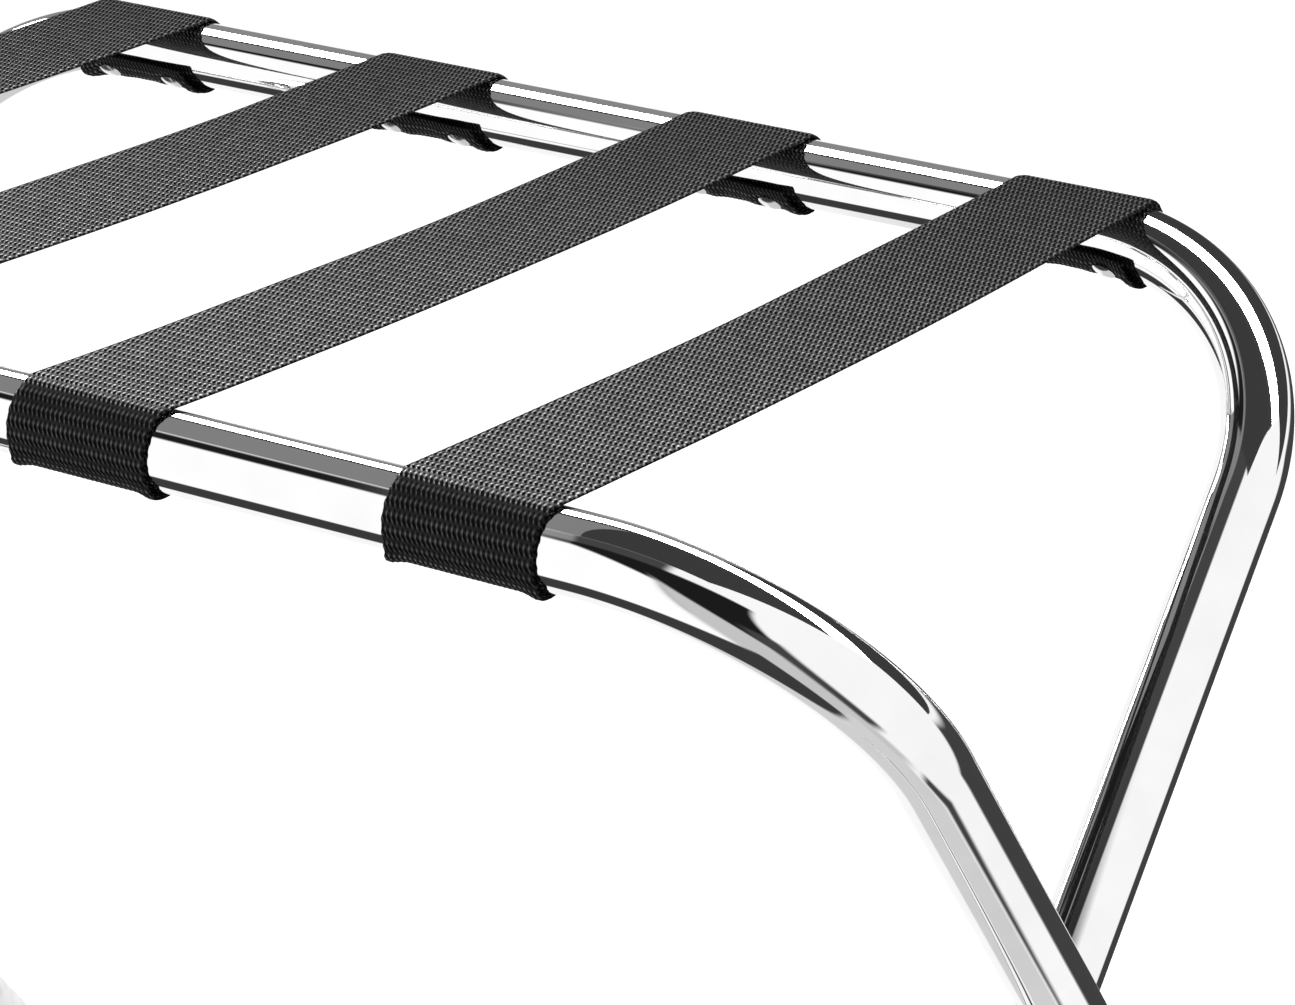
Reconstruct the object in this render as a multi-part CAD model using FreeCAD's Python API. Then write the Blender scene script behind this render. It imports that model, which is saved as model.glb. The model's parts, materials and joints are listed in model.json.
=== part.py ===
import FreeCAD, Part
import math
import os

from FreeCAD import Vector

# Folding luggage rack. Two U-shaped tube frames cross on a pair of pivot bolts. Webbing straps riveted
# to both top rails carry the load, and stop the frames from opening any further.
# Sizes are in millimetres, for the open rack. +Z is up and X runs along the rails. The origin is on the
# floor, midway between the feet. The outer frame carries the front rail, on the -Y side. The inner
# frame carries the back rail, and its legs pass just inside the outer frame's legs.

# ---- overall sizes ----
overall_height = 508.0  # floor to the straps' top face where they cross the rails
rail_spacing = 381.0  # from the front rail's axis to the back rail's
leg_angle = 40.5  # degrees from the vertical to each frame
strap_count = 4
strap_pitch = 138.0
rail_margin = 36.0  # from the last strap's centre line to the start of the outer frame's bend

# ---- tube frames ----
tube_diameter = 25.4
tube_wall = 1.2
bend_radius = 85.0  # to the tube's centre line
pivot_gap = 1.6  # between an outer leg and the inner leg beside it

# ---- webbing straps ----
strap_width = 55.0
strap_thickness = 1.5
strap_sag = 3.0  # of the middle of a strap below its two ends
strap_overhang = 8.0  # webbing that runs on past its rivets
webbing_gap = 0.3  # between the webbing and the tube or rivet that it touches

# ---- rivets that hold the straps ----
rivet_spacing = 32.0
rivet_head_diameter = 9.6
rivet_head_height = 2.6
rivet_shank_diameter = 4.8
rivet_bulb_diameter = 6.4  # the blind end, set inside the tube
rivet_bulb_length = 4.0

# ---- pivot hardware ----
bolt_diameter = 6.0
bolt_head_diameter = 13.0
bolt_head_height = 3.8
bolt_socket_flats = 4.0
bolt_socket_depth = 2.0
washer_diameter = 14.0
washer_thickness = 1.2
spacer_diameter = 20.0
nut_flats = 10.0
nut_hex_height = 5.0
nut_dome_radius = 4.4
nut_thread_depth = 6.5

# ---- feet ----
foot_wall = 2.6
foot_cover = 30.0  # how far the foot reaches up the leg from the tube's end
foot_sole = 3.5  # least thickness of the foot under the tube
foot_rim_fillet = 1.0

# ---- fits ----
fixed_fit = 0.05  # clearance of pieces that are fixed to each other, on the radius or face to face
running_fit = 0.08  # the same, for pieces that turn on each other
rivet_hole_gap = 0.3  # between a rivet's shank and the hole in the webbing

# ---- worked out from the sizes above ----
tilt = math.radians(leg_angle)
tube_radius = tube_diameter / 2
half_spacing = rail_spacing / 2
webbing_inner = tube_radius + webbing_gap
webbing_outer = webbing_inner + strap_thickness
webbing_middle = (webbing_inner + webbing_outer) / 2
rail_height = overall_height - webbing_outer
pivot_height = rail_height - half_spacing / math.tan(tilt)
outer_straight = (strap_count - 1) / 2 * strap_pitch + rail_margin
inner_straight = outer_straight - tube_diameter - pivot_gap
leg_reach = (pivot_height - foot_sole - tube_radius * math.sin(tilt)) / math.cos(tilt)
strap_places = [(i - (strap_count - 1) / 2) * strap_pitch for i in range(strap_count)]
rivet_places = [-rivet_spacing / 2, rivet_spacing / 2]
ends = {"left": -1, "right": 1}
x_axis = Vector(1, 0, 0)

# A strap's span is a shallow arc, tangent to the wraps round both rails, so its centre is far overhead.
# Round a rail, the webbing leaves the span at one angle and ends at the other: see around() below.
span_centre_rise = (half_spacing**2 - strap_sag**2) / (2 * strap_sag)
leaving_angle = -math.atan(half_spacing / span_centre_rise)
ending_angle = math.pi + tilt + strap_overhang / webbing_middle


class Frame:
    """One bent-tube frame: side is -1 for the front rail and 1 for the back rail."""

    def __init__(self, side, straight):
        self.side = side
        self.straight = straight  # half the rail's straight length
        self.leg_x = straight + bend_radius
        self.down = Vector(0, -side * math.sin(tilt), -math.cos(tilt))  # along the legs
        self.rail = Vector(0, side * half_spacing, rail_height)

    def leg_point(self, end, drop):
        """The point on a leg's centre line that is drop below the pivot, measured down the leg."""
        return Vector(end * self.leg_x, 0, pivot_height) + self.down * drop

    def bend(self, end):
        """Three points of a bend's centre line, from the leg to the rail."""
        centre = self.rail + x_axis * (end * self.straight) + self.down * bend_radius
        on_leg = centre + x_axis * (end * bend_radius)
        between = (x_axis * end - self.down) * (bend_radius / math.sqrt(2))
        on_rail = centre - self.down * bend_radius
        return on_leg, centre + between, on_rail

    def path(self):
        """The centre line: up the left leg, along the rail and down the right leg."""
        left_leg, left_middle, left_rail = self.bend(-1)
        right_leg, right_middle, right_rail = self.bend(1)
        pieces = [
            Part.LineSegment(self.leg_point(-1, leg_reach), left_leg),
            Part.Arc(left_leg, left_middle, left_rail),
            Part.LineSegment(left_rail, right_rail),
            Part.Arc(right_rail, right_middle, right_leg),
            Part.LineSegment(right_leg, self.leg_point(1, leg_reach)),
        ]
        return Part.Wire([piece.toShape() for piece in pieces])

    def station(self, x):
        """The point of the centre line at x along the rail, and the direction from it into the frame."""
        past_straight = max(abs(x) - self.straight, 0)
        turn = math.copysign(math.asin(past_straight / bend_radius), x)
        inward = self.down * math.cos(turn) - x_axis * math.sin(turn)
        centre = self.rail + self.down * bend_radius
        centre = centre + x_axis * (x - bend_radius * math.sin(turn))
        return centre - inward * bend_radius, inward


outer = Frame(-1, outer_straight)
inner = Frame(1, inner_straight)
frames = {"outer": outer, "inner": inner}


def swept(frame, radius, bore=0):
    """A round bar along a frame's centre line, hollow where a bore radius is given."""
    path = frame.path()
    start = frame.leg_point(-1, leg_reach)
    section = Part.Face(Part.Wire(Part.makeCircle(radius, start, frame.down)))
    bar = path.makePipe(section)
    if bore:
        core = Part.Face(Part.Wire(Part.makeCircle(bore, start, frame.down)))
        bar = bar.cut(path.makePipe(core))
    return bar


def cylinder(radius, start, end):
    """A round bar from one point to another."""
    along = end - start
    return Part.makeCylinder(radius, along.Length, start, along)


def hexagon(flats, start, end):
    """A hexagonal bar along X, from one point to another."""
    corner = flats / 2 / math.cos(math.pi / 6)
    angles = [math.pi / 3 * i for i in range(6)]
    points = [start + Vector(0, corner * math.cos(a), corner * math.sin(a)) for a in angles]
    outline = Part.makePolygon(points + points[:1])
    return Part.Face(outline).extrude(end - start)


def dome(base_radius, height, base, direction):
    """A cap of a sphere on a flat round base."""
    sphere_radius = (base_radius**2 + height**2) / (2 * height)
    centre = base + direction * (height - sphere_radius)
    low = math.degrees(math.asin((sphere_radius - height) / sphere_radius))
    return Part.makeSphere(sphere_radius, centre, direction, low, 90, 360)


def frame_tube(frame, bolt_fit):
    """A frame's tube, with holes for its two pivot bolts and for the rivets of every strap."""
    tube = swept(frame, tube_radius, tube_radius - tube_wall)
    holes = []
    for end in ends.values():
        across = x_axis * tube_diameter
        pivot = frame.leg_point(end, 0)
        holes.append(cylinder(bolt_diameter / 2 + bolt_fit, pivot - across, pivot + across))
    for place in strap_places:
        for offset in rivet_places:
            centre, inward = frame.station(place + offset)
            far = centre + inward * tube_diameter
            holes.append(cylinder(rivet_shank_diameter / 2 + fixed_fit, centre, far))
    return tube.cut(holes)


def foot(frame, end):
    """A cup over a leg's end. Its sole is cut level, so that it stands flat when the rack is open."""
    tube_end = frame.leg_point(end, leg_reach)
    top = tube_end - frame.down * foot_cover
    below_floor = frame.leg_point(end, 2 * leg_reach)
    bore_radius = tube_radius + fixed_fit
    cup = cylinder(bore_radius + foot_wall, top, below_floor)
    reach = below_floor.Length
    ground = Part.makeBox(2 * reach, 2 * reach, 2 * reach, Vector(-reach, -reach, -2 * reach))
    cup = cup.cut(ground)
    rim = [e for e in cup.Edges if (e.CenterOfMass - top).Length < fixed_fit]
    cup = cup.makeFillet(foot_rim_fillet, rim)
    bore = cylinder(bore_radius, top - frame.down * foot_cover, tube_end + frame.down * fixed_fit)
    return cup.cut(bore)


def pivot_bolt(end):
    """A domed bolt through an outer leg, the spacer and an inner leg."""
    head_base = outer.leg_point(end, 0) + x_axis * (end * (tube_radius + fixed_fit))
    outward = x_axis * end
    tip = nut_base(end) - outward * (nut_thread_depth - fixed_fit)
    head = dome(bolt_head_diameter / 2, bolt_head_height, head_base, outward)
    head_top = head_base + outward * bolt_head_height
    socket = hexagon(bolt_socket_flats, head_top, head_top - outward * bolt_socket_depth)
    return head.cut(socket).fuse(cylinder(bolt_diameter / 2, tip, head_base)).removeSplitter()


def washer_base(end):
    """Where the washer's face meets the inner leg."""
    return inner.leg_point(end, 0) - x_axis * (end * (tube_radius + running_fit))


def nut_base(end):
    """Where the cap nut's face meets the washer."""
    return washer_base(end) - x_axis * (end * (washer_thickness + fixed_fit))


def ring(radius, bore, start, end):
    """A flat washer from one point to another."""
    return cylinder(radius, start, end).cut(cylinder(bore, start, end))


def pivot_spacer(end):
    """The plastic washer between an outer leg and an inner leg."""
    facing = x_axis * (end * (pivot_gap / 2 - fixed_fit))
    middle = (outer.leg_point(end, 0) + inner.leg_point(end, 0)) / 2
    bore = bolt_diameter / 2 + running_fit
    return ring(spacer_diameter / 2, bore, middle - facing, middle + facing)


def pivot_washer(end):
    """The steel washer under a cap nut."""
    start = washer_base(end)
    return ring(
        washer_diameter / 2,
        bolt_diameter / 2 + fixed_fit,
        start,
        start - x_axis * (end * washer_thickness),
    )


def cap_nut(end):
    """A domed hexagonal nut, closed at its inner end."""
    base = nut_base(end)
    inward = x_axis * -end
    shoulder = base + inward * nut_hex_height
    nut = hexagon(nut_flats, base, shoulder)
    nut = nut.fuse(dome(nut_dome_radius, nut_dome_radius, shoulder, inward)).removeSplitter()
    return nut.cut(cylinder(bolt_diameter / 2 + fixed_fit, base, base + inward * nut_thread_depth))


def rivet(frame, x):
    """A set blind rivet: its head is on the webbing and its bulb is inside the tube."""
    centre, inward = frame.station(x)
    head_base = centre + inward * (webbing_outer + webbing_gap)
    wall_inside = centre + inward * (tube_radius - tube_wall - fixed_fit)
    bulb_end = wall_inside - inward * rivet_bulb_length
    head = dome(rivet_head_diameter / 2, rivet_head_height, head_base, inward)
    shank = cylinder(rivet_shank_diameter / 2, bulb_end, head_base)
    bore_radius = tube_radius - tube_wall
    wall_curve = bore_radius - math.sqrt(bore_radius**2 - (rivet_bulb_diameter / 2) ** 2)
    bulb = cylinder(rivet_bulb_diameter / 2, bulb_end, wall_inside - inward * wall_curve)
    return head.fuse([shank, bulb]).removeSplitter()


def rivet_pair(frame, place):
    """The two rivets that hold one end of one strap."""
    return Part.makeCompound([rivet(frame, place + offset) for offset in rivet_places])


def around(frame, angle, radius):
    """A point round a rail at x = 0: the angle runs from straight up, over the rack's outside."""
    return frame.rail + Vector(0, frame.side * math.sin(angle), math.cos(angle)) * radius


def wrap_arc(frame, radius, first, last):
    """An arc round a rail, from one angle to another."""
    middle = (first + last) / 2
    points = [around(frame, angle, radius) for angle in (first, middle, last)]
    return Part.Arc(*points).toShape()


def span_arc(start, end, radius):
    """The arc from rail to rail, for the face of the webbing that is radius from the rails' axes."""
    lowest = Vector(0, 0, rail_height + radius - strap_sag)
    first = around(start, leaving_angle, radius)
    last = around(end, leaving_angle, radius)
    return Part.Arc(first, lowest, last).toShape()


def strap_section():
    """A strap seen from its edge: round under one rail, over both, and round under the other."""
    faces = []
    for radius in (webbing_inner, webbing_outer):
        faces.append(wrap_arc(outer, radius, ending_angle, leaving_angle))
        faces.append(span_arc(outer, inner, radius))
        faces.append(wrap_arc(inner, radius, leaving_angle, ending_angle))
    for frame in frames.values():
        tips = [around(frame, ending_angle, radius) for radius in (webbing_inner, webbing_outer)]
        faces.append(Part.LineSegment(*tips).toShape())
    return Part.Face(Part.Wire(Part.__sortEdges__(faces)))


def wrap_on_bend(frame, left):
    """The part of a strap's wrap that follows the frame, also where the strap's edge is on a bend."""
    sleeve = swept(frame, webbing_outer, webbing_inner)
    reach = 2 * tube_diameter
    corner = frame.rail + Vector(left, -reach / 2, -reach / 2)
    sleeve = sleeve.common(Part.makeBox(strap_width, reach, reach, corner))
    open_angles = [ending_angle, (ending_angle + leaving_angle + 2 * math.pi) / 2, leaving_angle]
    fan = [frame.rail] + [around(frame, angle, reach) for angle in open_angles] + [frame.rail]
    wedge = Part.Face(Part.makePolygon(fan)).extrude(x_axis * strap_width)
    wedge.translate(x_axis * left)
    return sleeve.cut(wedge)


def strap(place):
    """One strap of webbing, with holes for the four rivets that hold it."""
    left = place - strap_width / 2
    section = strap_section()
    section.translate(x_axis * left)
    webbing = section.extrude(x_axis * strap_width)
    webbing = webbing.fuse([wrap_on_bend(frame, left) for frame in frames.values()])
    cuts = [swept(frame, webbing_inner) for frame in frames.values()]
    for frame in frames.values():
        for offset in rivet_places:
            centre, inward = frame.station(place + offset)
            far = centre + inward * tube_diameter
            cuts.append(cylinder(rivet_shank_diameter / 2 + rivet_hole_gap, centre, far))
    return webbing.cut(cuts).removeSplitter()


def all_nodes():
    """Every piece of the rack, by its node's name."""
    nodes = {
        "outer_frame": frame_tube(outer, fixed_fit),
        "inner_frame": frame_tube(inner, running_fit),
    }
    for name, frame in frames.items():
        for end_name, end in ends.items():
            nodes[f"{name}_foot_{end_name}"] = foot(frame, end)
    for end_name, end in ends.items():
        nodes[f"pivot_bolt_{end_name}"] = pivot_bolt(end)
        nodes[f"pivot_spacer_{end_name}"] = pivot_spacer(end)
        nodes[f"pivot_washer_{end_name}"] = pivot_washer(end)
        nodes[f"cap_nut_{end_name}"] = cap_nut(end)
    for number, place in enumerate(strap_places, 1):
        nodes[f"strap_{number}"] = strap(place)
        nodes[f"front_rivets_{number}"] = rivet_pair(outer, place)
        nodes[f"back_rivets_{number}"] = rivet_pair(inner, place)
    return nodes


os.makedirs("parts", exist_ok=True)
for node_name, shape in all_nodes().items():
    shape.exportStep(f"parts/{node_name}.step")
    print(f"{node_name:20s} solids {len(shape.Solids)}, valid {shape.isValid()}, {shape.Volume:.1f} mm3")
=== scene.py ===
import json

import bmesh
import bpy
import numpy as np
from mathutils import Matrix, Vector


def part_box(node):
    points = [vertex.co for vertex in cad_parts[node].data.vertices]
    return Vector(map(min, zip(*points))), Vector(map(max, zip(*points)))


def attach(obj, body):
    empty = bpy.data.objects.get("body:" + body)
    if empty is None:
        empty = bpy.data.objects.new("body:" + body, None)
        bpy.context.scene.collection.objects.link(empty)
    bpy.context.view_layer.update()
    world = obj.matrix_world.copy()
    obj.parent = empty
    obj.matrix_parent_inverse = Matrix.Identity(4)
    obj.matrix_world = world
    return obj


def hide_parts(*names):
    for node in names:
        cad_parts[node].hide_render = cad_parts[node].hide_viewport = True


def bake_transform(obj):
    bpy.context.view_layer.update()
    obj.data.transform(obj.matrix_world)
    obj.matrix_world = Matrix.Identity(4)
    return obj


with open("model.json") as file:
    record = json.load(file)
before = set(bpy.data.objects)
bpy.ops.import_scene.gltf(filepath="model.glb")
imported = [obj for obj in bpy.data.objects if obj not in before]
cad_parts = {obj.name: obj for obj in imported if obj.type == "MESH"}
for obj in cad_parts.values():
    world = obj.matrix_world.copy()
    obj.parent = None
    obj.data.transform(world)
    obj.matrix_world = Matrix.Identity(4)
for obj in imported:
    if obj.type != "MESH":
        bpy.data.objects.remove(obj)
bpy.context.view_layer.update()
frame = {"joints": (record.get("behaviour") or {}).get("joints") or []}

# ======================================================================================
# The two frames.
# Each is one length of 25 mm steel tube bent twice into a U: a rail with a leg at each end.
# They are polished and chrome plated after bending, so they mirror whatever stands round them.

tube_radius = 0.0127
tube_wall = 0.0012
bend_radius = 0.085
pivot = np.array(frame["joints"][0]["pos_m"])
ends = {"left": -1, "right": 1}
along_x = np.array([1.0, 0.0, 0.0])


def surface(name, points, ring_rows=False, ring_columns=False, cloth=None):
    """A piece made of a grid of points, with a quad between each four neighbours.

    ring_rows joins the last row to the first, and ring_columns the last column to the first. cloth
    is a second grid, one longer each way that is joined, of how far each point lies across and
    along the flat cloth. It becomes the piece's UV map.
    """
    rows, columns = points.shape[:2]
    index = np.arange(rows * columns).reshape(rows, columns)
    if ring_rows:
        index = np.vstack([index, index[:1]])
    if ring_columns:
        index = np.hstack([index, index[:, :1]])
    loops = np.stack([index[:-1, :-1], index[:-1, 1:], index[1:, 1:], index[1:, :-1]], axis=-1).reshape(-1)
    mesh = bpy.data.meshes.new(name)
    mesh.vertices.add(rows * columns)
    mesh.vertices.foreach_set("co", points.astype(np.float32).reshape(-1))
    mesh.loops.add(loops.size)
    mesh.loops.foreach_set("vertex_index", loops.astype(np.int32))
    mesh.polygons.add(loops.size // 4)
    mesh.polygons.foreach_set("loop_start", np.arange(0, loops.size, 4, dtype=np.int32))
    mesh.update(calc_edges=True)
    mesh.shade_smooth()
    if cloth is not None:
        corners = [cloth[:-1, :-1], cloth[:-1, 1:], cloth[1:, 1:], cloth[1:, :-1]]
        layer = mesh.uv_layers.new(name="cloth")
        layer.data.foreach_set("uv", np.stack(corners, axis=2).astype(np.float32).reshape(-1))
    piece = bpy.data.objects.new(name, mesh)
    bpy.context.scene.collection.objects.link(piece)
    return piece


def circle(count):
    """The cosines and sines of evenly spaced angles round a circle."""
    angles = np.linspace(0, 2 * np.pi, count, endpoint=False)
    return np.cos(angles), np.sin(angles)


class BentFrame:
    """Where a frame's rail, legs and bends lie, from its CAD node's box. side is -1 for the front rail."""

    def __init__(self, name, side):
        low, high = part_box(f"{name}_frame")
        self.name = name
        self.side = side
        self.leg_x = high.x - tube_radius
        self.straight = self.leg_x - bend_radius
        rail_y = low.y + tube_radius if side < 0 else high.y - tube_radius
        self.rail = np.array([0, rail_y, high.z - tube_radius])
        self.down = (pivot - self.rail) / np.linalg.norm(pivot - self.rail)
        self.across = np.cross(along_x, self.down)
        self.reach = (self.rail[2] - low.z - tube_radius * abs(self.down[1])) / -self.down[2]

    def leg_point(self, end, drop):
        """The point of a leg's centre line that is drop below the rail's axis, measured down the leg."""
        return self.rail + along_x * (end * self.leg_x) + self.down * drop

    def station(self, x):
        """The centre line's point at x along the rail, and the direction from it into the frame."""
        turn = np.copysign(np.arcsin(max(abs(x) - self.straight, 0) / bend_radius), x)
        inward = self.down * np.cos(turn) - along_x * np.sin(turn)
        centre = self.rail + self.down * bend_radius + along_x * (x - bend_radius * np.sin(turn))
        return centre - inward * bend_radius, inward


def centre_line(bent):
    """Points up one leg, round a bend, along the rail, round the other bend and down the other leg.

    A bend is a quarter circle: its centre, plus the radius times an angle's sine along the rail and
    its cosine back up the legs. The second value is the direction of travel at each point.
    """
    turn = np.linspace(0, np.pi / 2, 65)[:, None]
    run = np.linspace(0, 1, 12)[:, None]
    corner = bent.rail + along_x * bent.straight
    bend = corner + bend_radius * (along_x * np.sin(turn) + bent.down * (1 - np.cos(turn)))
    bend_way = along_x * np.cos(turn) + bent.down * np.sin(turn)
    leg = bend[-1] + (bent.leg_point(1, bent.reach) - bend[-1]) * run[1:]
    right = np.vstack([bent.rail + along_x * bent.straight * run[:-1], bend, leg])
    right_way = np.vstack([run[:-1] * 0 + along_x, bend_way, run[1:] * 0 + bent.down])
    mirror = np.array([-1.0, 1.0, 1.0])
    left = right[:0:-1] * mirror
    left_way = right_way[:0:-1] * -mirror
    return np.vstack([left, right]), np.vstack([left_way, right_way])


def tube_grid(points, ways, up, radius, bore, columns):
    """Rings round a centre line, out along the outer face and back along the bore.

    A ring's points are the radius times an angle's cosine along up, and times its sine along the
    direction that is square to up and to the line.
    """
    cosine, sine = circle(columns)
    ring = cosine[None, :, None] * up + sine[None, :, None] * np.cross(ways, up)[:, None, :]
    outside = points[:, None, :] + radius * ring
    inside = points[:, None, :] + bore * ring
    return np.concatenate([outside, inside[::-1]])


def node(tree, kind, inputs=None, **settings):
    """A new shader node. Each input is set to a value, or linked where the value is a node's socket."""
    made = tree.nodes.new(kind)
    for name, value in settings.items():
        setattr(made, name, value)
    for name, value in (inputs or {}).items():
        if isinstance(value, bpy.types.NodeSocket):
            tree.links.new(value, made.inputs[name])
        else:
            made.inputs[name].default_value = value
    return made


def sums(tree, operation, *values):
    """The output of a Math node on one to three values."""
    return node(tree, "ShaderNodeMath", dict(enumerate(values)), operation=operation).outputs[0]


def noise(tree, place, scale, detail):
    """A Noise Texture, from 0 to 1, with scale features to the metre."""
    texture = node(tree, "ShaderNodeTexNoise", {"Vector": place, "Scale": scale, "Detail": detail})
    return texture.outputs["Fac"]


def spread(tree, value, from_low, from_high, to_low, to_high):
    """A value's range from from_low to from_high stretched to run from to_low to to_high."""
    inputs = {"Value": value, "From Min": from_low, "From Max": from_high}
    inputs.update({"To Min": to_low, "To Max": to_high})
    return node(tree, "ShaderNodeMapRange", inputs).outputs["Result"]


def grey(level):
    """A neutral colour."""
    return (level, level, level, 1.0)


def shade(tree, share, dark, light):
    """A neutral colour between two levels, by a share from 0 to 1."""
    inputs = {0: share, 6: grey(dark), 7: grey(light)}
    return node(tree, "ShaderNodeMix", inputs, data_type="RGBA").outputs[2]


def new_material(name):
    """A material with its shader, and the place on the piece that its pattern starts from."""
    material = bpy.data.materials.new(name)
    material.use_nodes = True
    tree = material.node_tree
    place = node(tree, "ShaderNodeTexCoord").outputs["Object"]
    return material, tree, tree.nodes["Principled BSDF"], place


def effect_group(name, floats, outputs, vector=None):
    """An empty effect: a vector input if it has one, float inputs with their defaults, and float outputs."""
    group = bpy.data.node_groups.new(name, "ShaderNodeTree")
    if vector:
        group.interface.new_socket(vector, in_out="INPUT", socket_type="NodeSocketVector")
    for label, value in floats.items():
        socket = group.interface.new_socket(label, in_out="INPUT", socket_type="NodeSocketFloat")
        socket.default_value = value
    for label in outputs:
        group.interface.new_socket(label, in_out="OUTPUT", socket_type="NodeSocketFloat")
    return group, group.nodes.new("NodeGroupInput").outputs, group.nodes.new("NodeGroupOutput").inputs


def polished_surface_group():
    """A polished metal's surface: a haze where it has been handled, and the ripple that polishing leaves."""
    floats = {"Clean": 0.03, "Hazy": 0.07}
    group, given, result = effect_group("polished_surface", floats, ["Roughness", "Height", "Haze"], "Place")
    haze = noise(group, given["Place"], 9.0, 4.0)
    smears = noise(group, given["Place"], 55.0, 3.0)
    mask = sums(group, "MULTIPLY", haze, smears)
    ripple = noise(group, given["Place"], 24.0, 1.0)
    pores = noise(group, given["Place"], 900.0, 1.0)
    roughness = spread(group, mask, 0.12, 0.42, given["Clean"], given["Hazy"])
    group.links.new(roughness, result["Roughness"])
    group.links.new(sums(group, "MULTIPLY_ADD", pores, 0.03, ripple), result["Height"])
    group.links.new(spread(group, mask, 0.12, 0.42, 0.0, 1.0), result["Haze"])
    return group


polished_surface = polished_surface_group()


def metal_material(name, level, clean, hazy, ripple_height):
    """A polished metal, mirror bright where it is clean and a little duller where it has been handled."""
    material, tree, shader, place = new_material(name)
    inputs = {"Place": place, "Clean": clean, "Hazy": hazy}
    polish = node(tree, "ShaderNodeGroup", inputs, node_tree=polished_surface)
    bump = node(tree, "ShaderNodeBump", {"Height": polish.outputs["Height"], "Distance": ripple_height})
    tree.links.new(shade(tree, polish.outputs["Haze"], level, level * 0.94), shader.inputs["Base Color"])
    tree.links.new(polish.outputs["Roughness"], shader.inputs["Roughness"])
    tree.links.new(bump.outputs["Normal"], shader.inputs["Normal"])
    shader.inputs["Metallic"].default_value = 1.0
    return material


def finish_piece(piece, material, body, slot, *nodes):
    """Gives a piece its material and its body, and hides the CAD nodes it stands for. slot is not used."""
    piece.data.materials.append(material)
    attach(piece, body)
    if nodes:
        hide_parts(*nodes)


chrome = metal_material("chrome_plate", 0.93, 0.02, 0.045, 0.00002)
outer = BentFrame("outer", -1)
inner = BentFrame("inner", 1)
bent_frames = [outer, inner]

for bent in bent_frames:
    line, ways = centre_line(bent)
    grid = tube_grid(line, ways, bent.across, tube_radius, tube_radius - tube_wall, 96)
    tube = surface(f"{bent.name}_tube", grid, ring_rows=True, ring_columns=True)
    finish_piece(tube, chrome, bent.name, "chrome_tube", f"{bent.name}_frame")

# ======================================================================================
# Feet.
# A moulded pale grey rubber cup is pushed over each leg's end. Its sole is level on the open rack,
# and shallow grooves round its side let it be gripped and pushed home.

foot_cover = 0.030
foot_wall = 0.00265
foot_round = 0.001
groove_depth = 0.0004


def merge_poles(piece):
    """Joins the points that lie on top of each other at the middle of a turned shape."""
    shell = bmesh.new()
    shell.from_mesh(piece.data)
    bmesh.ops.remove_doubles(shell, verts=shell.verts, dist=1e-7)
    shell.to_mesh(piece.data)
    shell.free()


def foot_grid(bent, end):
    """A cup round a leg's end, from the middle of its sole, up its side and over its rim to the tube.

    Each row is a ring at a radius. A row's height is a blend of two planes: one square to the leg at
    a distance up it, and one level, so the side's rings lean from the level sole to the square rim.
    """
    side = tube_radius + foot_wall
    turn = np.linspace(0, np.pi / 2, 6)
    climb = np.linspace(0, 1, 34)
    grooves = groove_depth * np.clip(np.cos(climb * 10 * np.pi), 0, 1) ** 2 * (climb > 0.25) * (climb < 0.9)
    sole_radius = np.array([0, 0.25, 0.5, 0.6, 0.62, 0.8, 0.82, 0.95]) * side
    sole_height = np.array([0.5, 0.5, 0.5, 0.5, 0, 0, 0, 0]) * 0.001
    edge_radius = side - foot_round + np.sin(turn) * foot_round
    edge_rise = foot_round * (1 - np.cos(turn))
    edge_fall = foot_round * np.cos(turn[::-1])
    radius = np.concatenate([sole_radius, edge_radius, side - grooves, edge_radius[::-1], [tube_radius]])
    level = np.concatenate([sole_height, edge_rise, climb * 0 + foot_round, turn * 0, [0]])
    square = np.concatenate([sole_radius * 0, turn * 0, climb, turn * 0 + 1, [1]])
    over = np.concatenate([sole_radius * 0, turn * 0, climb * 0, edge_fall, [foot_round]])
    cosine, sine = circle(72)
    ring = cosine[:, None] * along_x * end + sine[:, None] * bent.across * end
    spokes = radius[:, None, None] * ring
    tube_end = bent.leg_point(end, bent.reach)
    floor_drop = (level[:, None] - tube_end[2] - spokes[..., 2]) / bent.down[2]
    top_drop = -foot_cover - over[:, None] + foot_round
    drop = floor_drop * (1 - square[:, None]) + top_drop * square[:, None]
    return (tube_end + spokes + drop[..., None] * bent.down)[:, ::-1]


def rubber_material():
    """Pale moulded rubber: matt, finely pitted and a little greyer where dust sits."""
    material, tree, shader, place = new_material("foot_rubber")
    dust = noise(tree, place, 120.0, 5.0)
    grain = noise(tree, place, 2600.0, 2.0)
    bump = node(tree, "ShaderNodeBump", {"Height": grain, "Distance": 0.0001, "Strength": 0.5})
    clean = spread(tree, dust, 0.4, 0.8, 1.0, 0.0)
    tree.links.new(shade(tree, clean, 0.5, 0.62), shader.inputs["Base Color"])
    tree.links.new(spread(tree, dust, 0.3, 0.7, 0.62, 0.82), shader.inputs["Roughness"])
    tree.links.new(bump.outputs["Normal"], shader.inputs["Normal"])
    shader.inputs["Specular IOR Level"].default_value = 0.35
    return material


rubber = rubber_material()
for bent in bent_frames:
    for end_name, end in ends.items():
        cup = surface(f"{bent.name}_cup_{end_name}", foot_grid(bent, end), ring_columns=True)
        merge_poles(cup)
        finish_piece(cup, rubber, bent.name, "foot_rubber", f"{bent.name}_foot_{end_name}")

# ======================================================================================
# Pivots.
# A domed socket bolt joins an outer leg to the inner leg beside it, with a nylon washer between
# them. A steel washer and a domed cap nut close it on the inside.

bolt_radius = 0.003
bolt_head = {"radius": 0.0065, "height": 0.0038, "socket": 0.002, "depth": 0.002}
nut = {"flat": 0.005, "hexagon": 0.005, "dome": 0.0044}
washer_radius = 0.007
spacer_radius = 0.010


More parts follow.
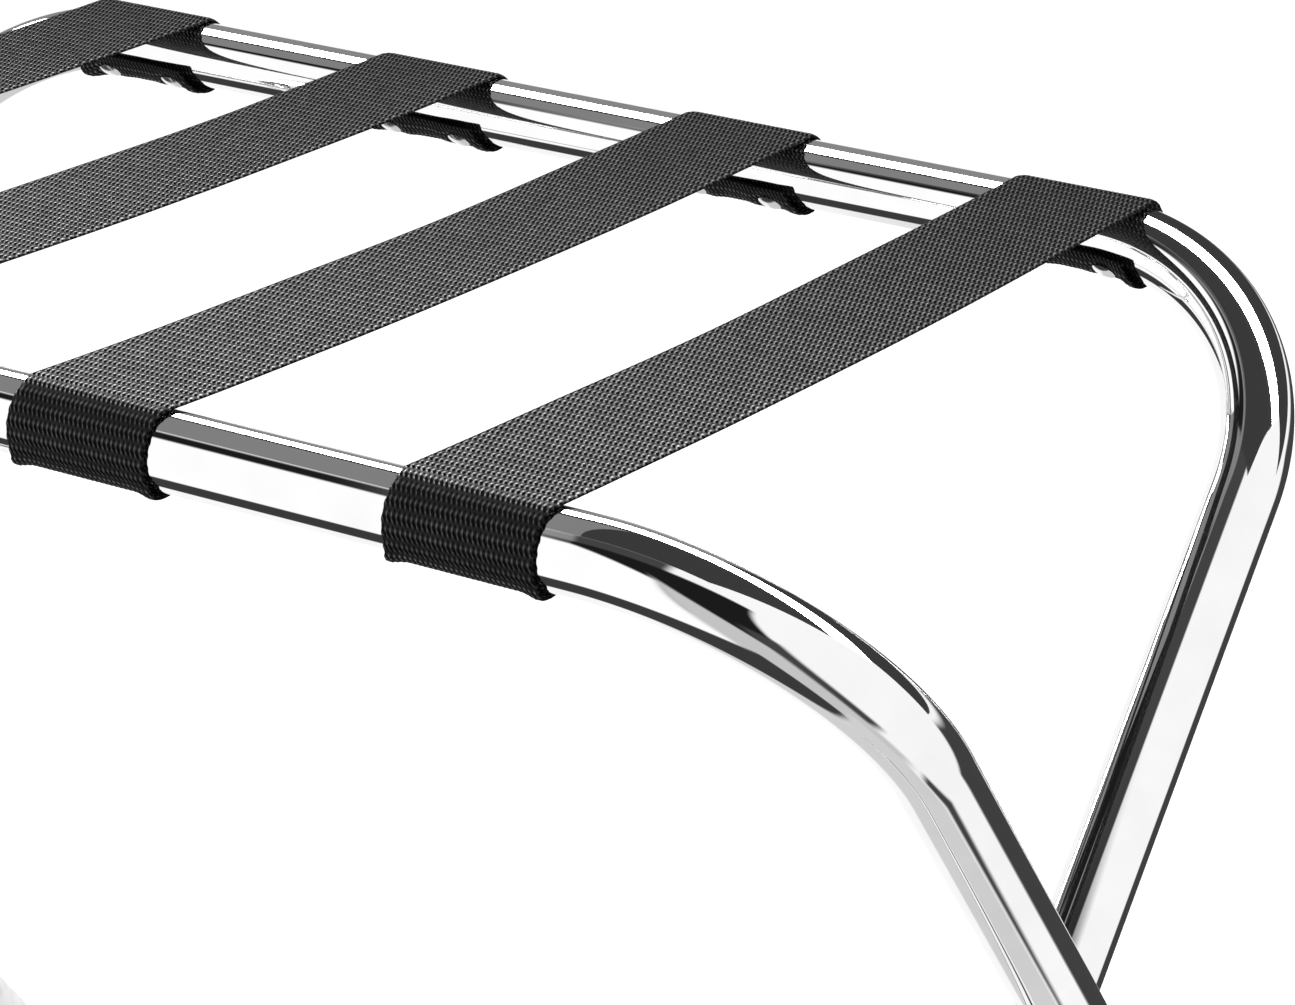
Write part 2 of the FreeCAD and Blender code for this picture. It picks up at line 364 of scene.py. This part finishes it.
def turned(name, base, way, profile, columns=48):
    """A turned shape: each profile row is a distance along the axis, a radius and a hexagon's share.

    Round the axis a hexagonal row's radius is its flat's distance over the cosine of the angle from
    the middle of the nearest flat, and a round row's is the same all round.
    """
    way = np.array(way) / np.linalg.norm(way)
    side = np.cross(way, [0.0, 0.6, 0.8])
    side = side / np.linalg.norm(side)
    cosine, sine = circle(columns)
    ring = cosine[:, None] * side + sine[:, None] * np.cross(way, side)
    off_flat = (np.arange(columns) / columns * 6 + 0.5) % 1 - 0.5
    corner = 1 / np.cos(off_flat * np.pi / 3)
    distance, radius, hexagon = np.array(profile, float).T
    reach = radius[:, None] * (1 + hexagon[:, None] * (corner - 1))
    points = np.array(base) + distance[:, None, None] * way + reach[..., None] * ring
    piece = surface(name, points[:, ::-1], ring_columns=True)
    merge_poles(piece)
    return piece


def sharpen(piece, angle=0.6):
    """Gives a piece crisp edges where its faces meet at more than an angle in radians."""
    piece.data.set_sharp_from_angle(angle=angle)


def dome_rows(start, radius, height, hole=0.0):
    """Profile rows up a dome, from its edge to its hole or tip: an arc through the edge and the tip."""
    ball = (radius**2 + height**2) / (2 * height)
    out = np.linspace(radius, hole, 14)
    rise = np.sqrt(ball**2 - out**2) - (ball - height)
    return np.stack([start + rise, out, out * 0], axis=1)


def bolt_profile(length):
    """A bolt from its tip to the bottom of its hexagonal socket."""
    head = dome_rows(0, bolt_head["radius"], bolt_head["height"], bolt_head["socket"] * 1.16)
    floor = bolt_head["height"] - bolt_head["depth"]
    shank = [[-length, 0, 0], [-length, bolt_radius, 0], [0, bolt_radius, 0]]
    under_head = [[0, bolt_head["radius"] * 0.98, 0]]
    socket = [[head[-1, 0] - 0.0001, bolt_head["socket"], 1], [floor, bolt_head["socket"], 1], [floor, 0, 0]]
    return np.vstack([shank, under_head, head, socket])


def nut_profile():
    """A cap nut from its open face, up its chamfered flats to the tip of its dome."""
    flat = nut["flat"]
    body = [[0, bolt_radius, 0], [0, flat * 0.97, 0], [0.0004, flat, 1], [nut["hexagon"] - 0.0004, flat, 1]]
    shoulder = [[nut["hexagon"], flat * 0.96, 0]]
    return np.vstack([body, shoulder, dome_rows(nut["hexagon"], nut["dome"], nut["dome"])])


def washer_profile(radius, thickness, edge):
    """A flat washer with rounded edges, from the bolt's hole out and round to the hole again."""
    hole = bolt_radius + 0.0001
    near_face = [[0, hole, 0], [0, radius - edge, 0], [edge, radius, 0]]
    far_face = [[thickness - edge, radius, 0], [thickness, radius - edge, 0], [thickness, hole, 0]]
    return near_face + far_face + near_face[:1]


def nylon_material():
    """Black nylon: satin, with a fine moulding grain."""
    material, tree, shader, place = new_material("spacer_nylon")
    grain = noise(tree, place, 1800.0, 3.0)
    bump = node(tree, "ShaderNodeBump", {"Height": grain, "Distance": 0.00005, "Strength": 0.4})
    tree.links.new(shade(tree, noise(tree, place, 300.0, 2.0), 0.014, 0.024), shader.inputs["Base Color"])
    tree.links.new(spread(tree, grain, 0.3, 0.7, 0.38, 0.5), shader.inputs["Roughness"])
    tree.links.new(bump.outputs["Normal"], shader.inputs["Normal"])
    return material


pivot_steel = metal_material("pivot_steel", 0.72, 0.12, 0.24, 0.00001)
nylon = nylon_material()

for end_name, end in ends.items():
    outward = along_x * end
    head_side, tip_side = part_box(f"pivot_bolt_{end_name}")
    spacer_low, spacer_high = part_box(f"pivot_spacer_{end_name}")
    washer_low, washer_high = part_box(f"pivot_washer_{end_name}")
    nut_low, nut_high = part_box(f"cap_nut_{end_name}")
    head_base = pivot + outward * (outer.leg_x + tube_radius)
    bolt_length = tip_side.x - head_side.x - bolt_head["height"]
    bolt = turned(f"bolt_{end_name}", head_base, outward, bolt_profile(bolt_length))
    washer_thickness = washer_high.x - washer_low.x
    washer_start = pivot + along_x * (washer_high.x if end > 0 else washer_low.x)
    washer = turned(
        f"washer_{end_name}", washer_start, -outward, washer_profile(washer_radius, washer_thickness, 0.0002)
    )
    nut_start = pivot + along_x * (nut_high.x if end > 0 else nut_low.x)
    cap = turned(f"nut_{end_name}", nut_start, -outward, nut_profile())
    spacer_start = pivot + along_x * (spacer_low.x if end > 0 else spacer_high.x)
    spacer = turned(
        f"spacer_{end_name}",
        spacer_start,
        outward,
        washer_profile(spacer_radius, spacer_high.x - spacer_low.x, 0.0003),
    )
    for piece in (bolt, washer, cap, spacer):
        sharpen(piece)
    finish_piece(bolt, pivot_steel, "outer", "pivot_steel", f"pivot_bolt_{end_name}")
    finish_piece(washer, pivot_steel, "outer", "pivot_steel", f"pivot_washer_{end_name}")
    finish_piece(cap, pivot_steel, "outer", "pivot_steel", f"cap_nut_{end_name}")
    finish_piece(spacer, nylon, "outer", "spacer_nylon", f"pivot_spacer_{end_name}")

# ======================================================================================
# Webbing straps.
# Each is a 55 mm length of woven black polypropylene, cut to about half a metre. It lies across
# both rails, wraps over the outside of each and is riveted under it, so it is the folding stop.

strap_count = 4
strap_width = 0.055
strap_thickness = 0.0015
strap_sag = 0.003
tube_gap = 0.0003
wrap_radius = tube_radius + tube_gap + strap_thickness / 2
strap_overhang = 0.008
rivet_spacing = 0.032
warp_ends = 59
pick_length = 0.0023
yarn_height = 0.0002
samples_across = 2
row_length = pick_length / 3.4
rivet_angle = np.pi + np.arctan2(abs(inner.down[1]), -inner.down[2])
selvedge_scallop = 0.0002
strap_wander = 0.0002
strap_flutter = 0.0003
strap_skew = 0.0036

# The shares of its width that a strap loses on its span, over a rail and at its cut ends, and gets
# back under a rail, and then how far its corners, its cut ends and its puffs stand off the tube.
narrowing = {"span": 0.02, "over": 0.045, "under": 0.02, "cut_end": 0.09}
lift = {"corner": 0.0013, "cut_end": 0.0007, "puff": 0.0004}
dimple = {"radius": 0.0052, "depth": 0.0003}
collar = {"radius": 0.0075, "width": 0.003, "height": 0.0005}


def smooth(value, low, high):
    """0 below low and 1 above high, with an S-curve between them."""
    share = np.clip((value - low) / (high - low), 0, 1)
    return share * share * (3 - 2 * share)


def strap_line():
    """A strap's middle line seen from its edge, from one cut end to the other.

    It runs round under the front rail and over it on a circle, across to the back rail on a wide
    shallow arc that meets both circles without a kink, and round that rail in the same way. The
    values are how far along the strap each row is, its point, its outward direction, and its angle
    round the nearer rail, which is 0 straight up and grows over the rack's outside.
    """
    half = inner.rail[1]
    leave = 2 * np.arctan(strap_sag / half)
    leave = 2 * np.arctan(strap_sag / (half - wrap_radius * np.sin(leave)))
    last = rivet_angle + strap_overhang / wrap_radius
    span_radius = half / np.sin(leave) - wrap_radius
    wrap = wrap_radius * (last + leave)
    span = 2 * span_radius * leave
    length = 2 * wrap + span
    rows = int(round(length / row_length)) + 1
    along = np.linspace(0, length, rows)
    from_end = np.minimum(along, length - along)
    side = np.where(along < length / 2, -1.0, 1.0)
    angle = last - np.minimum(from_end, wrap) / wrap_radius
    swing = (np.clip(along - wrap, 0, span) - span / 2) / span_radius
    on_span = (along > wrap) & (along < wrap + span)
    wrap_out = np.stack([side * np.sin(angle), np.cos(angle)], axis=1)
    wrap_point = np.stack([side * half, side * 0 + inner.rail[2]], axis=1) + wrap_radius * wrap_out
    span_out = np.stack([-np.sin(swing), np.cos(swing)], axis=1)
    span_rise = inner.rail[2] + (span_radius + wrap_radius) * np.cos(leave)
    span_point = np.array([0, span_rise]) - span_radius * span_out
    point = np.where(on_span[:, None], span_point, wrap_point)
    out = np.where(on_span[:, None], span_out, wrap_out)
    return along, point, out, np.where(on_span, 0, angle), side, length


def weave_height(across, along):
    """How far the yarns stand up from the cloth, as a share of a yarn's height.

    Each warp end is a narrow ridge along the strap that goes over one weft pick and under the next,
    as a cosine does, and the ends beside it do the opposite. Each crown so stands between four dips.
    """
    ends_over = across / strap_width * warp_ends
    ridge = np.abs(np.sin(np.pi * ends_over))
    crest = np.sin(np.pi * ends_over) * np.cos(np.pi * along / pick_length)
    return 0.25 * ridge + 0.75 * (0.5 + 0.5 * crest) - 0.7


def width_lost(angle):
    """The share of its width by which a strap is drawn in, by its angle round a rail."""
    over = smooth(angle, -0.2, 0.6) * (1 - smooth(angle, 1.9, 2.6))
    under = smooth(angle, 2.6, 3)
    cut_end = smooth(angle, 3.7, 4.43)
    on_rail = narrowing["over"] * over - narrowing["under"] * under
    return narrowing["span"] + on_rail + narrowing["cut_end"] * cut_end


def stand_off(off_centre, edge_share, angle, face, phase):
    """How far the webbing stands off under a rail.

    The free corners and the cut end lift away, and the cloth between them puffs up a little. Each
    rivet pulls in a round dimple and pushes up a collar of cloth round it.
    """
    corner = lift["corner"] * smooth(angle, 1.8, 2.7) * smooth(edge_share, 0.7, 1)
    cut_end = lift["cut_end"] * smooth(angle, 3.9, 4.45)
    puff = lift["puff"] * smooth(angle, 3.3, 3.8) * (1 + np.sin(off_centre * 260 + phase)) / 2
    to_rivet = np.hypot(np.abs(off_centre) - rivet_spacing / 2, (angle - rivet_angle) * wrap_radius)
    pulled = np.exp(-((to_rivet / dimple["radius"]) ** 4)) * (angle > 2)
    pushed = np.exp(-(((to_rivet - collar["radius"]) / collar["width"]) ** 2)) * (angle > 2)
    free = (corner + cut_end + puff) * (1 - pulled)
    return free + collar["height"] * pushed - dimple["depth"] * pulled * (face == 1)


def strap_grid(place, phase):
    """A strap's points, a ring round its section for each row along it, and their places on the flat cloth.

    The outer face carries the weave, and the selvedges are scalloped by the turns of the weft. The
    strap wanders a little, its span flutters, and its end under the front rail is skewed. Where a
    strap reaches a bend, its wrap moves with the tube.
    """
    along, point, out, angle, side, length = strap_line()
    across = np.linspace(0, strap_width, warp_ends * samples_across + 1)
    back = np.linspace(strap_width, 0, 5)
    edge = np.array([strap_width, strap_width])
    cloth_x = np.concatenate([across, edge, back, edge * 0])
    face = np.concatenate([across * 0 + 1, [0.45, -0.45], back * 0 - 1, [-0.45, 0.45]])
    edge_side = np.concatenate([across * 0, [1, 1], back * 0, [-1, -1]])
    off_centre = cloth_x - strap_width / 2
    edge_share = np.abs(off_centre) / (strap_width / 2)
    along_grid, angle_grid = along[:, None], angle[:, None]
    yarns = np.where(face == 1, yarn_height * weave_height(cloth_x, along_grid), 0)
    yarns = yarns * np.where((edge_share > 0.995) & (face == 1), 0.3, 1)
    scallop = edge_side * selvedge_scallop * (1 + np.cos(np.pi * along_grid / pick_length))
    wander = strap_wander * np.sin(along_grid * 31 + phase)
    skew = strap_skew * smooth(angle_grid, 2.2, 3.1) * (side[:, None] < 0)
    flutter = strap_flutter * np.sin(along_grid * 33 + phase) * off_centre / strap_width
    flutter = flutter * smooth(along_grid, 0.08, 0.16) * smooth(length - along_grid, 0.08, 0.16)
    half_thickness = strap_thickness / 2 * (1 - 0.5 * smooth(edge_share, 0.93, 1))
    height = face * half_thickness + yarns + flutter
    height = height + stand_off(off_centre, edge_share, angle_grid, face, phase)
    x = place + off_centre * (1 - width_lost(angle_grid)) - skew + scallop + wander
    y = point[:, :1] + height * out[:, :1]
    z = point[:, 1:] + height * out[:, 1:]
    grid = np.stack([x, y, z], axis=-1)
    for bent in bent_frames:
        past = np.clip(np.abs(x) - bent.straight, 0, None)
        drop = bend_radius - np.sqrt(bend_radius**2 - past**2)
        follow = smooth(angle_grid, 1.0, 2.9) * (side[:, None] == bent.side)
        grid = grid + (drop * follow)[..., None] * bent.down
    closing = np.append(cloth_x, cloth_x[0])
    cloth = np.stack(np.broadcast_arrays(closing[None, :], along_grid), axis=-1)
    return grid, cloth, length


def close_ends(piece, columns):
    """Fills a strap's two cut ends, each with one face across its ring of points."""
    shell = bmesh.new()
    shell.from_mesh(piece.data)
    shell.verts.ensure_lookup_table()
    count = len(shell.verts)
    for ring in (range(columns - 1, -1, -1), range(count - columns, count)):
        shell.faces.new([shell.verts[i] for i in ring])
    shell.to_mesh(piece.data)
    shell.free()


def yarn_mark(group, off, turn, long, wide):
    """One soft ellipse: off is the two distances from its middle, in millimetres.

    The two are turned onto the ellipse's long and short axes and divided by its half sizes, long
    and wide. The mark is e to the power of minus the sum of their squares.
    """
    cosine, sine = float(np.cos(np.radians(turn))), float(np.sin(np.radians(turn)))
    run = sums(group, "MULTIPLY_ADD", off[1], sine / long, sums(group, "MULTIPLY", off[0], cosine / long))
    rise = sums(group, "MULTIPLY", off[0], -sine / wide)
    rise = sums(group, "MULTIPLY_ADD", off[1], cosine / wide, rise)
    reach = sums(group, "MULTIPLY_ADD", run, run, sums(group, "MULTIPLY", rise, rise))
    return sums(group, "EXPONENT", sums(group, "MULTIPLY", reach, -1.0))


def webbing_weave_group():
    """The weave at the size of its yarns, read from the cloth's own lengths.

    It repeats every two ends and two picks. In each repeat a long crown slants over one pick and a
    short one stands straight over the next. A deep slanting pit opens beside the long crown and a
    shallow one beside the short crown. The light it gives out is painted: a painted highlight on each
    crown and painted shade, down to none, in each pit. Height adds the filaments to that same field,
    and Yarn is a chance value for each repeat. Each mark is its middle in repeats across and along,
    its turn in degrees, its half sizes in millimetres, and how much painted highlight it adds or
    painted shade it takes away.
    """
    repeat = {"Repeat across": 2 * strap_width / warp_ends, "Repeat along": 2 * pick_length}
    group, given, result = effect_group("webbing_weave_and_painted_light", repeat, ["Height", "Painted light", "Yarn"], "Cloth")
    flat = node(group, "ShaderNodeSeparateXYZ", {"Vector": given["Cloth"]}).outputs
    over = sums(group, "DIVIDE", flat["X"], given["Repeat across"])
    on = sums(group, "DIVIDE", flat["Y"], given["Repeat along"])
    # Marks with a positive share are painted highlights on the crowns, and those with a negative share are
    # painted shade in the pits.
    marks = [
        (0.25, 0.0, -53, 0.75, 0.3, 0.56),
        (0.92, 0.4, 90, 0.75, 0.28, 0.68),
        (0.6, 0.04, -53, 0.8, 0.42, -0.85),
        (0.38, 0.24, 112, 0.55, 0.28, -0.4),
        (0.44, 0.58, -70, 0.45, 0.26, -0.36),
    ]
    painted_light = 0.36
    for across, along, turn, long, wide, share in marks:
        off = []
        for value, middle, metres in zip((over, on), (across, along), repeat.values()):
            fraction = sums(group, "FRACT", sums(group, "ADD", value, 10.5 - middle))
            off.append(sums(group, "MULTIPLY", sums(group, "SUBTRACT", fraction, 0.5), metres * 1000))
        painted_light = sums(group, "MULTIPLY_ADD", yarn_mark(group, off, turn, long, wide), share, painted_light)
    slant = sums(group, "MULTIPLY_ADD", over, 1.6, sums(group, "MULTIPLY", on, 5.0))
    filament = sums(group, "SINE", sums(group, "MULTIPLY", slant, 2 * np.pi))
    repeat_x = sums(group, "FLOOR", over)
    repeat_y = sums(group, "FLOOR", on)
    place = node(group, "ShaderNodeCombineXYZ", {"X": repeat_x, "Y": repeat_y}).outputs["Vector"]
    chance = node(group, "ShaderNodeTexWhiteNoise", {"Vector": place}, noise_dimensions="3D")
    group.links.new(sums(group, "MULTIPLY_ADD", filament, 0.05, painted_light), result["Height"])
    group.links.new(painted_light, result["Painted light"])
    group.links.new(chance.outputs["Value"], result["Yarn"])
    return group


def webbing_material():
    """Black polypropylene webbing, with a painted highlight on its crowns and painted shade in the pits
    between them.
    """
    material, tree, shader, place = new_material("strap_webbing")
    cloth = node(tree, "ShaderNodeUVMap", uv_map="cloth").outputs["UV"]
    weave = node(tree, "ShaderNodeGroup", {"Cloth": cloth}, node_tree=webbing_weave_group())
    bloom = noise(tree, place, 40.0, 4.0)
    yarn = weave.outputs["Yarn"]
    lit = sums(tree, "POWER", spread(tree, weave.outputs["Painted light"], 0.05, 0.95, 0.0, 1.0), 2.0)
    painted_light_coat = sums(tree, "MULTIPLY", lit, spread(tree, yarn, 0, 1, 0.6, 1.0))
    painted_light = sums(tree, "MULTIPLY", lit, spread(tree, bloom, 0.3, 0.7, 0.7, 1.0))
    bump = node(tree, "ShaderNodeBump", {"Height": weave.outputs["Height"], "Distance": 0.00016})
    # The base colour carries the painted light: near black as painted shade in the pits, and a lighter grey
    # as painted highlight on the crowns.
    tree.links.new(shade(tree, painted_light, 0.004, 0.055), shader.inputs["Base Color"])
    # The coat weight follows the same painted light, so the crowns glint and the pits, with no coat, stay
    # black as painted shade.
    tree.links.new(painted_light_coat, shader.inputs["Coat Weight"])
    tree.links.new(bump.outputs["Normal"], shader.inputs["Normal"])
    tree.links.new(bump.outputs["Normal"], shader.inputs["Coat Normal"])
    shader.inputs["Coat IOR"].default_value = 1.8
    shader.inputs["Roughness"].default_value = 0.6
    shader.inputs["Coat Roughness"].default_value = 0.38
    shader.inputs["Specular IOR Level"].default_value = 0.0
    return material


webbing = webbing_material()
for number in range(1, strap_count + 1):
    node_low, node_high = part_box(f"strap_{number}")
    place = (node_low.x + node_high.x) / 2
    grid, cloth, length = strap_grid(place, 1.7 * number)
    strap = surface(f"webbing_{number}", grid, ring_columns=True, cloth=cloth)
    close_ends(strap, grid.shape[1])
    strap.data.materials.append(webbing)
    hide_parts(f"strap_{number}")
    end = (0, inner.rail[1] * 0.94, 0.5)
    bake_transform(strap)

# ======================================================================================
# Rivets.
# Two domed steel rivets hold each end of a strap. Each goes through the webbing into the
# underside of the rail, and its blind end is set inside the tube.

rivet = {"radius": 0.0045, "height": 0.001, "skirt": 0.0006, "shank": 0.0024, "bulb": 0.0032}
rivet_seat = tube_radius + 2 * tube_gap + strap_thickness
rivet_bulb_length = 0.004


def rivet_profile():
    """A blind rivet from its end inside the tube, along its shank and over its domed head."""
    bore = tube_radius - tube_wall - rivet_seat
    inside = [[bore - rivet_bulb_length, 0, 0], [bore - rivet_bulb_length, rivet["bulb"] * 0.8, 0]]
    bulb = [[bore - rivet_bulb_length * 0.6, rivet["bulb"], 0], [bore - 0.0006, rivet["bulb"], 0]]
    under = [[bore - 0.0001, rivet["shank"], 0], [-rivet["skirt"], rivet["shank"], 0]]
    brim = [[-rivet["skirt"], rivet["radius"] * 0.94, 0], [-rivet["skirt"] * 0.5, rivet["radius"], 0]]
    return np.vstack([inside, bulb, under, brim, dome_rows(0, rivet["radius"] * 0.995, rivet["height"])])


rivet_steel = metal_material("rivet_steel", 0.9, 0.1, 0.2, 0.00003)
for number in range(1, strap_count + 1):
    node_low, node_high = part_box(f"strap_{number}")
    place = (node_low.x + node_high.x) / 2
    for bent, side_name in ((outer, "front"), (inner, "back")):
        for offset in (-rivet_spacing / 2, rivet_spacing / 2):
            centre, inward = bent.station(place + offset)
            which = "left" if offset < 0 else "right"
            seat = centre + inward * rivet_seat
            dome = turned(f"rivet_{side_name}_{number}_{which}", seat, inward, rivet_profile())
            sharpen(dome)
            finish_piece(dome, rivet_steel, bent.name, "rivet_steel", f"{side_name}_rivets_{number}")

# ======================================================================================
# Studio.
# A plain white floor and room, soft light from above, and a strip light behind. The bands that the
# chrome mirrors are panels far off round the room, and cards hung behind and above the rack. They
# run from black to white, and the camera sees none of them.

scene = bpy.context.scene
scene.view_settings.view_transform = "Standard"


def studio_floor():
    """A plain white floor, which only the camera and the soft light meet."""
    corners = np.array([[[-8.0, -8.0, 0.0], [8.0, -8.0, 0.0]], [[-8.0, 8.0, 0.0], [8.0, 8.0, 0.0]]])
    floor = surface("studio_floor", corners)
    material, tree, shader, place = new_material("studio_floor")
    tree.links.new(shade(tree, noise(tree, place, 3.0, 2.0), 0.88, 0.9), shader.inputs["Base Color"])
    shader.inputs["Roughness"].default_value = 0.9
    floor.data.materials.append(material)
    floor.visible_glossy = False


def panel_group():
    """One panel: a patch of the room with its own level, between two edges that may lean and two ends."""
    floats = {"Room": 1.0, "Turn": 0.0, "Side": 0.0}
    floats.update({"Start": 0.0, "Start lean": 0.0, "Finish": 0.0, "Finish lean": 0.0})
    floats.update({"Left": -1.1, "Right": 1.1, "Blur": 4.0, "Level": 1.0})
    group, given, result = effect_group("studio_panel", floats, ["Room"])

    def edge(value, place, blur):
        low = sums(group, "MULTIPLY_ADD", blur, -0.5, place)
        high = sums(group, "MULTIPLY_ADD", blur, 0.5, place)
        inputs = {"Value": value, "From Min": low, "From Max": high}
        ramp = node(group, "ShaderNodeMapRange", inputs, interpolation_type="SMOOTHSTEP")
        return ramp.outputs["Result"]

    start = sums(group, "MULTIPLY_ADD", given["Side"], given["Start lean"], given["Start"])
    finish = sums(group, "MULTIPLY_ADD", given["Side"], given["Finish lean"], given["Finish"])
    side_blur = sums(group, "MULTIPLY", given["Blur"], 0.012)
    past_start = edge(given["Turn"], start, given["Blur"])
    past_finish = edge(given["Turn"], finish, given["Blur"])
    past_left = edge(given["Side"], given["Left"], side_blur)
    past_right = edge(given["Side"], given["Right"], side_blur)
    turn_mask = sums(group, "SUBTRACT", past_start, past_finish)
    side_mask = sums(group, "SUBTRACT", past_left, past_right)
    mask = sums(group, "MULTIPLY", turn_mask, side_mask)
    change = sums(group, "SUBTRACT", given["Level"], given["Room"])
    group.links.new(sums(group, "MULTIPLY_ADD", mask, change, given["Room"]), result["Room"])
    return group


# Each panel: first and last edge in degrees of turn about the rails (0 behind the rack, 90 overhead,
# 180 in front, 270 below), how far each edge leans by the right-hand side, its two ends as the share
# of the direction that points right, the blur of its edges in degrees, and its brightness.
panels = {
    "dark room behind": (-34, 0, 0, 0, -0.32, 0.64, 6, 0.055),
    "black room above the camera": (112, 0, 200, 0, -1.0, -0.5, 8, 0.012),
    "dark room above the camera": (108, 0, 200, 0, -0.5, 0.1, 8, 0.06),
    "black room above the bend": (127, 0, 200, 0, -0.5, 0.6, 5, 0.012),
    "dark room to the right": (180, 0, 245, 0, 0.42, 0.64, 8, 0.06),
    "white front": (157, 45, 240, 0, -1.1, 0.04, 6, 1.1),
    "soft white front": (151, 110, 262, 0, 0.02, 0.46, 10, 0.6),
    "dark floor card": (227, -26, 254, -40, -1.1, 0.13, 4, 0.045),
    "pale floor": (254, -40, 322, 0, -0.45, 0.3, 4, 0.68),
    "dark foot of the front": (268, 0, 290, 0, 0.33, 0.47, 6, 0.06),
}

# Each card hangs behind or above the rack: its low and its high edge as (y, z), its left ends and
# its right ends in x at those two edges, and its brightness.
cards = {
    "grey_card_behind": ((0.38, 0.55), (0.38, 0.815), (-3.0, -3.0), (0.14, 0.14), 0.26),
    "dark_card_behind": ((0.38, 0.50), (0.38, 0.815), (0.14, 0.14), (0.75, 0.75), 0.045),
    "strip_light_behind": ((0.38, 0.82), (0.2056, 0.961), (-3.0, -3.0), (0.8, 0.8), 20.0),
    "dark_card_edge": ((0.2056, 0.961), (0.145, 1.01), (-3.0, -3.0), (0.8, 0.8), 0.05),
    "overhead_card": ((0.145, 1.01), (-0.72, 1.95), (-3.0, -3.0), (0.05, -0.54), 0.235),
    "overhead_card_end": ((0.145, 1.01), (-0.72, 1.95), (0.05, -0.54), (0.8, 0.8), 0.045),
}


def studio_card(name, low_edge, high_edge, left, right, level):
    """A flat glowing card that only shows in mirrors and in the shine of the webbing."""
    low = [[left[0], *low_edge], [right[0], *low_edge]]
    high = [[left[1], *high_edge], [right[1], *high_edge]]
    card = surface(name, np.array([low, high]))
    material, tree, shader, place = new_material(name)
    shader.inputs["Base Color"].default_value = grey(0.0)
    shader.inputs["Specular IOR Level"].default_value = 0.0
    shader.inputs["Emission Color"].default_value = grey(1.0)
    shader.inputs["Emission Strength"].default_value = level
    card.data.materials.append(material)
    card.visible_camera = False
    card.visible_diffuse = False
    card.visible_shadow = False


def studio_world():
    """The room seen by direction, a plain white to the camera and banded with panels to everything else."""
    world = bpy.data.worlds.new("studio")
    scene.world = world
    world.use_nodes = True
    tree = world.node_tree
    way = node(tree, "ShaderNodeTexCoord").outputs["Generated"]
    part = node(tree, "ShaderNodeSeparateXYZ", {"Vector": way}).outputs
    turn = sums(tree, "MULTIPLY", sums(tree, "ARCTAN2", part["Z"], part["Y"]), 180 / np.pi)
    turn = sums(tree, "WRAP", turn, 325.0, -35.0)
    room = 1.02
    group = panel_group()
    for first, first_lean, last, last_lean, left, right, blur, level in panels.values():
        given = {"Room": room, "Turn": turn, "Side": part["X"], "Start": first, "Start lean": first_lean}
        given.update({"Finish": last, "Finish lean": last_lean})
        given.update({"Left": left, "Right": right, "Blur": blur, "Level": level})
        room = node(tree, "ShaderNodeGroup", given, node_tree=group).outputs["Room"]
    seen = node(tree, "ShaderNodeLightPath").outputs["Is Camera Ray"]
    level = sums(tree, "ADD", room, sums(tree, "MULTIPLY", seen, sums(tree, "SUBTRACT", 1.0, room)))
    background = tree.nodes["Background"]
    colour = node(tree, "ShaderNodeCombineColor", {"Red": level, "Green": level, "Blue": level})
    tree.links.new(colour.outputs["Color"], background.inputs["Color"])


def soft_box(name, place, size, power):
    """A square soft box that shines straight down and isn't mirrored in the chrome."""
    lamp = bpy.data.lights.new(name, "AREA")
    lamp.size = size
    lamp.energy = power
    box = bpy.data.objects.new(name, lamp)
    box.location = place
    box.visible_glossy = False
    scene.collection.objects.link(box)


def studio_camera():
    """A long lens in front, to the right and above, turned a little about its own line of sight."""
    place = (0.867803, -1.189694, 0.943455)
    heading, dip, roll = np.radians([31.228, 20.18, 1.896])
    sight = np.array([-np.sin(heading) * np.cos(dip), np.cos(heading) * np.cos(dip), -np.sin(dip)])
    level_right = np.array([np.cos(heading), np.sin(heading), 0])
    level_up = np.cross(level_right, sight)
    right = np.cos(roll) * level_right + np.sin(roll) * level_up
    up = np.cos(roll) * level_up - np.sin(roll) * level_right
    lens = bpy.data.cameras.new("camera")
    lens.lens = 123.95
    lens.sensor_width = 36.0
    camera = bpy.data.objects.new("camera", lens)
    turn = np.eye(4)
    turn[:3, :3] = np.stack([right, up, -sight], axis=1)
    turn[:3, 3] = place
    scene.collection.objects.link(camera)
    camera.matrix_world = turn.T
    scene.camera = camera


studio_floor()
studio_world()
for name, card_shape in cards.items():
    studio_card(name, *card_shape)
soft_box("overhead_soft_box", (0.0, 0.3, 2.4), 2.2, 60.0)
studio_camera()
